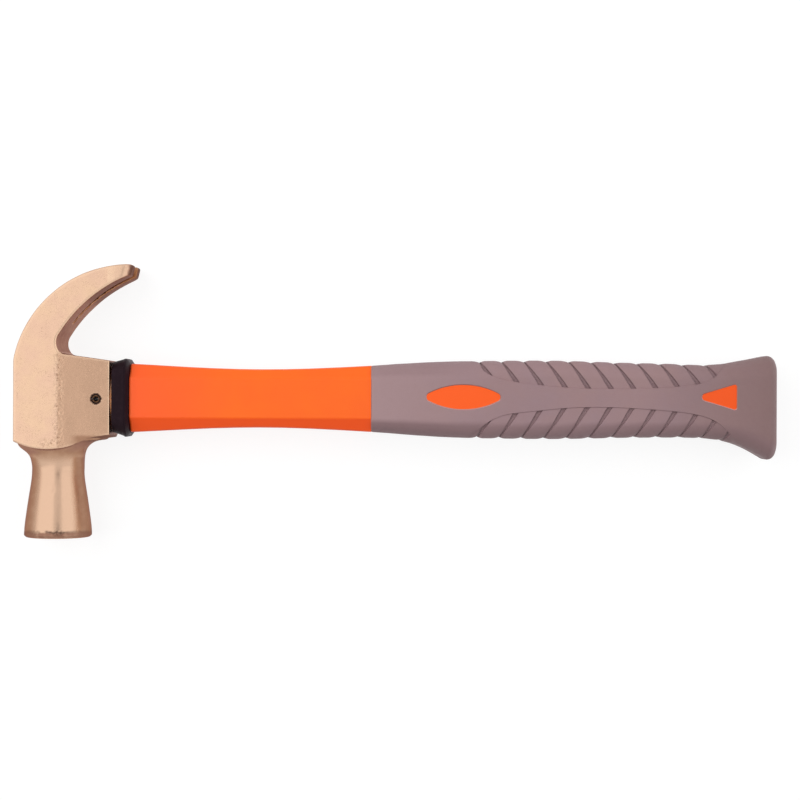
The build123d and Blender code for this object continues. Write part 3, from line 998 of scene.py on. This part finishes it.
def cutWindows(grip, s):
    # both outlines are cut through the skin on both cheeks, with a bevelled rim
    levels = ((-s["cut"], 0.0), (-s["rim"], 0.0), (s["proud"], s["rim"]), (s["clear"], s["rim"]))
    vertices, faces = [], []
    for outline in (lensOutline(s["lens"]), arrowOutline(s["arrow"], s["cornerSteps"])):
        for side in (1, -1):
            base = len(vertices)
            size = len(outline)
            for above, wide in levels:
                for point, out in outline:
                    spot = point + wide * out
                    height = float(gripSection(np.array(point.x))[2])
                    vertices.append((spot.x, spot.y, side * (height + above)))
            for ring in range(len(levels) - 1):
                for k in range(size):
                    n = (k + 1) % size
                    quad = (ring * size + k, ring * size + n, (ring + 1) * size + n, (ring + 1) * size + k)
                    faces.append([base + i for i in (quad if side > 0 else quad[::-1])])
            bottom = list(range(base, base + size))
            top = list(range(base + (len(levels) - 1) * size, base + len(levels) * size))
            faces += [bottom[::-1], top] if side > 0 else [bottom, top[::-1]]
    cutter = newPiece("window_cutter", np.array(vertices) * mm + eyeArray, faces, smooth=False)
    cut = grip.modifiers.new("windows", "BOOLEAN")
    cut.object = cutter
    cut.operation = "DIFFERENCE"
    cut.solver = "EXACT"
    applyModifiers(grip)
    bpy.data.objects.remove(cutter)


grip = makeGrip(gripSettings)
cutWindows(grip, windowSettings)
grip.data.set_sharp_from_angle(angle=math.radians(windowSettings["sharp"]))
print("grip:", len(grip.data.polygons), "faces")

# a run along the handle is in millimetres from the hammer's middle, from where its colour starts
# to where it is full; a side is the same for the surface's direction
rubberSettings = dict(
    colour=(0.300, 0.188, 0.197),
    warm=(0.308, 0.192, 0.193),
    cool=(0.288, 0.188, 0.203),
    paintedLightNearHead=(0.345, 0.225, 0.232),  # painted light: the end nearest the head, lit brighter
    paintedShadeAtButt=(0.203, 0.121, 0.118),  # painted shade: the butt, lit less
    below=(0.225, 0.138, 0.145),  # painted shade on the side toward the striking face
    groove=(0.262, 0.165, 0.173),
    # painted shade on the grooves' walls
    wall=(0.150, 0.089, 0.097),
    speck=(0.15, 0.09, 0.098),
    clouds=dict(size=22.0, low=0.35, high=0.65),
    smallClouds=dict(size=6.0, low=0.3, high=0.7, toHigh=0.5),
    paintedLightRun=(45.0, -10.0),
    paintedShadeRun=(105.0, 165.0),
    startRun=(40.0, 15.0),
    lowerSide=(-0.03, -0.32),
    lowerShare=(0.65, 0.95),
    upperSide=(0.06, 0.35),
    upperShare=0.4,
    specks=dict(size=0.5, detail=2.0, roughness=0.7, low=0.56, high=0.70),
    speckShare=(0.10, 0.6),  # on the lands and in the grooves
    wallGaps=dict(size=0.9, detail=2.0, roughness=0.7, low=0.40, high=0.62, toLow=1.0, toHigh=0.35),
    rough=dict(size=2.0, low=0.3, high=0.7, toLow=0.56, toHigh=0.70),
    fine=dict(size=0.38, roughness=0.7, strength=0.35, depth=0.07),
    rubble=dict(size=0.7, roughness=0.7, strength=0.9, depth=0.35),
)
# painted light and shade on the bevels round the windows, pale where they face the light: each place's
# middle, its half length and half height
paintedBevelLight = dict(
    # painted highlight where they face the light
    pale=(0.54, 0.32, 0.29),
    dull=(0.34, 0.180, 0.155),  # painted shade where they look toward the face or the head
    across=2.6,
    places=((28.1, 19.5, 6.4), (130.0, 4.5, 4.0), (140.0, 6.8, 6.4)),
    blend=0.3,
    steep=(0.93, 0.85),
    towardButt=0.45,
    lit=(-0.25, 0.25),
)


def awayFrom(tree, value, middle):
    apart = mathOf(tree, "SUBTRACT", value, middle)
    return addNode(tree, "Math", {"operation": "ABSOLUTE"}, {0: apart}).outputs[0]


def paintedBevelLightOf(tree, spot, facing, s):
    # where the windows' bevels lie, and their colour of painted light and shade
    near = 0.0
    for middle, halfLong, halfWide in s["places"]:
        inLength = between(tree, awayFrom(tree, spot["X"], middle), halfLong, halfLong - s["blend"])
        inWidth = between(tree, awayFrom(tree, spot["Y"], s["across"]), halfWide, halfWide - s["blend"])
        near = mathOf(tree, "MAXIMUM", mathOf(tree, "MULTIPLY", inLength, inWidth), near)
    steep = between(tree, awayFrom(tree, facing["Z"], 0.0), *s["steep"])
    lit = mathOf(tree, "ADD", mathOf(tree, "MULTIPLY", facing["X"], s["towardButt"]), facing["Y"])
    colour = mixColours(tree, between(tree, lit, *s["lit"]), s["dull"], s["pale"])
    return mathOf(tree, "MULTIPLY", steep, near), colour


def rubberMaterial(s):
    material, tree, shader, place = startMaterial("grey_rubber")
    spot, facing = partsOf(tree, place), facingOf(tree)
    colour = mixColours(tree, patchesOf(tree, place, **s["clouds"]), s["cool"], s["warm"])
    colour = mixColours(tree, patchesOf(tree, place, **s["smallClouds"]), colour, s["colour"])
    # painted light toward the head and painted shade toward the butt
    colour = mixColours(tree, between(tree, spot["X"], *s["paintedLightRun"]), colour, s["paintedLightNearHead"])
    colour = mixColours(tree, between(tree, spot["X"], *s["paintedShadeRun"]), colour, s["paintedShadeAtButt"])
    # painted shade on the lower side, and near the head on the upper side too
    start = between(tree, spot["X"], *s["startRun"])
    lowerShare = between(tree, start, 0.0, 1.0, *s["lowerShare"])
    lower = mathOf(tree, "MULTIPLY", between(tree, facing["Y"], *s["lowerSide"]), lowerShare)
    upper = between(tree, facing["Y"], *s["upperSide"], 0.0, s["upperShare"])
    upper = mathOf(tree, "MULTIPLY", upper, start)
    colour = mixColours(tree, mathOf(tree, "MAXIMUM", lower, upper), colour, s["below"])

    # the grooves, crumbly on their floors and dark where their walls are in shade
    floor = attributeOf(tree, "groove")
    colour = mixColours(tree, floor, colour, s["groove"])
    speckShare = between(tree, floor, 0.0, 1.0, *s["speckShare"])
    specks = mathOf(tree, "MULTIPLY", patchesOf(tree, place, **s["specks"]), speckShare)
    colour = mixColours(tree, specks, colour, s["speck"])
    walls = mathOf(tree, "MULTIPLY", attributeOf(tree, "wall"), patchesOf(tree, place, **s["wallGaps"]))
    colour = mixColours(tree, walls, colour, s["wall"])
    # painted light and shade on the windows' bevels
    inLip, paintedRimLight = paintedBevelLightOf(tree, spot, facing, paintedBevelLight)
    colour = mixColours(tree, inLip, colour, paintedRimLight)

    fine, rubble = grainOf(tree, place, **s["fine"]), s["rubble"]
    crumbs = noiseOf(tree, place, rubble["size"], roughness=rubble["roughness"])
    strength = between(tree, floor, 0.0, 1.0, 0.0, rubble["strength"])
    normal = bumpOf(tree, crumbs, strength, rubble["depth"], fine)
    finishSurface(tree, shader, colour, patchesOf(tree, place, **s["rough"]), normal)
    return material


grip.data.materials.clear()
grip.data.materials.append(rubberMaterial(rubberSettings))
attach(grip, "root")
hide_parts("grip")


plasticSettings = dict(
    colour=(0.99, 0.150, 0.011),
    deep=(0.98, 0.135, 0.013),
    # painted shade near the head, which keeps light off it
    shadedNearHead=(0.98, 0.118, 0.022),
    below=(1.0, 0.100, 0.010),  # painted shade on the bevels toward the striking face
    covered=(0.98, 0.117, 0.014),  # seen through the grip's window
    atButt=(0.90, 0.098, 0.011),
    clouds=dict(size=18.0, low=0.3, high=0.7),
    headRun=(-70.0, -112.0),
    coveredRun=(-14.0, -8.0),
    buttRun=(70.0, 120.0),
    lowerSide=(-0.15, -0.5),
    rough=dict(size=3.0, low=0.3, high=0.7, toLow=0.31, toHigh=0.42),
    shine=0.25,
    grain=dict(size=0.6, detail=2.0, strength=0.12, depth=0.03),
)


def plasticMaterial(s):
    material, tree, shader, place = startMaterial("orange_plastic")
    x, y = partsOf(tree, place)["X"], facingOf(tree)["Y"]
    colour = mixColours(tree, patchesOf(tree, place, **s["clouds"]), s["colour"], s["deep"])
    # painted shade near the head
    colour = mixColours(tree, between(tree, x, *s["headRun"]), colour, s["shadedNearHead"])
    colour = mixColours(tree, between(tree, x, *s["coveredRun"]), colour, s["covered"])
    colour = mixColours(tree, between(tree, x, *s["buttRun"]), colour, s["atButt"])
    # painted shade on the bevels turned down
    colour = mixColours(tree, between(tree, y, *s["lowerSide"]), colour, s["below"])
    shader.inputs["Specular IOR Level"].default_value = s["shine"]
    rough, grain = patchesOf(tree, place, **s["rough"]), grainOf(tree, place, **s["grain"])
    finishSurface(tree, shader, colour, rough, grain)
    return material


collarSettings = dict(
    colour=(0.0130, 0.0066, 0.0094),
    worn=(0.020, 0.0105, 0.0145),
    wear=dict(size=1.6, detail=4.0, roughness=0.7, low=0.5, high=0.75),
    rough=dict(size=1.2, low=0.3, high=0.7, toLow=0.38, toHigh=0.55),
    shine=0.12,
    edgeTint=(0.45, 0.38, 0.42),
    grain=dict(size=0.5, strength=0.25, depth=0.05),
)


def collarMaterial(s):
    material, tree, shader, place = startMaterial("black_sleeve")
    colour = mixColours(tree, patchesOf(tree, place, **s["wear"]), s["colour"], s["worn"])
    shader.inputs["Specular IOR Level"].default_value = s["shine"]
    shader.inputs["Specular Tint"].default_value = rgba(s["edgeTint"])
    rough, grain = patchesOf(tree, place, **s["rough"]), grainOf(tree, place, **s["grain"])
    finishSurface(tree, shader, colour, rough, grain)
    return material


resinSettings = dict(
    colour=(0.50, 0.19, 0.05),
    deep=(0.32, 0.10, 0.02),
    clouds=dict(size=4.0, low=0.3, high=0.7),
    glow=0.15,  # how much light passes into it, and how far in metres
    glowDepth=0.002,
    rough=dict(size=2.0, low=0.3, high=0.7, toLow=0.16, toHigh=0.28),
    ripple=dict(size=2.5, strength=0.4, depth=0.15),
)


def resinMaterial(s):
    material, tree, shader, place = startMaterial("amber_resin")
    colour = mixColours(tree, patchesOf(tree, place, **s["clouds"]), s["colour"], s["deep"])
    shader.inputs["Subsurface Weight"].default_value = s["glow"]
    shader.inputs["Subsurface Scale"].default_value = s["glowDepth"]
    rough, ripple = patchesOf(tree, place, **s["rough"]), grainOf(tree, place, **s["ripple"])
    finishSurface(tree, shader, colour, rough, ripple)
    return material


rodSettings = dict(
    colour=(0.62, 0.55, 0.36),
    strand=(0.40, 0.33, 0.18),
    stretch=(0.05, 1, 1),  # the strands run along the rod
    strands=dict(size=0.8, roughness=0.7, low=0.4, high=0.62),
    rough=(0.55, 0.43),
    bump=dict(strength=0.3, depth=0.06),
)


def rodMaterial(s):
    material, tree, shader, place = startMaterial("fibreglass")
    stretched = addNode(tree, "Mapping", inputs={"Vector": place, "Scale": s["stretch"]})
    strands = patchesOf(tree, stretched.outputs["Vector"], **s["strands"])
    colour = mixColours(tree, strands, s["strand"], s["colour"])
    rough = between(tree, strands, 0.0, 1.0, *s["rough"])
    finishSurface(tree, shader, colour, rough, bumpOf(tree, strands, **s["bump"]))
    return material


pinSettings = dict(
    colour=(0.17, 0.080, 0.037),
    rustColour=(0.08, 0.036, 0.017),
    shadedRing=(0.012, 0.007, 0.005),  # painted shade in a ring round the pin, where the hole's edge lies in shadow
    rust=dict(size=0.8, low=0.4, high=0.65),
    middle=(-129.7, 1.15),
    ring=(1.45, 1.65),
    rough=(0.42, 0.67),
    metal=0.8,
    grain=dict(size=0.4, strength=0.3, depth=0.05),
)


def pinMaterial(s):
    material, tree, shader, place = startMaterial("spring_pin")
    rust = patchesOf(tree, place, **s["rust"])
    colour = mixColours(tree, rust, s["colour"], s["rustColour"])
    middle = (-s["middle"][0], -s["middle"][1], 0.0)
    flat = addNode(tree, "Mapping", inputs={"Vector": place, "Location": middle, "Scale": (1, 1, 0)})
    radius = addNode(tree, "VectorMath", {"operation": "LENGTH"}, {0: flat.outputs["Vector"]})
    # painted shade in a ring round the pin
    colour = mixColours(tree, between(tree, radius.outputs["Value"], *s["ring"]), colour, s["shadedRing"])
    shader.inputs["Metallic"].default_value = s["metal"]
    rough = between(tree, rust, 0.0, 1.0, *s["rough"])
    finishSurface(tree, shader, colour, rough, grainOf(tree, place, **s["grain"]))
    return material


finishes = dict(
    jacket=plasticMaterial(plasticSettings),
    collar=collarMaterial(collarSettings),
    eye_resin=resinMaterial(resinSettings),
    core_rod=rodMaterial(rodSettings),
    roll_pin=pinMaterial(pinSettings),
)
for nodeName, finish in finishes.items():
    for slot in nodes[nodeName].material_slots:
        slot.material = finish
print("finishes are set")
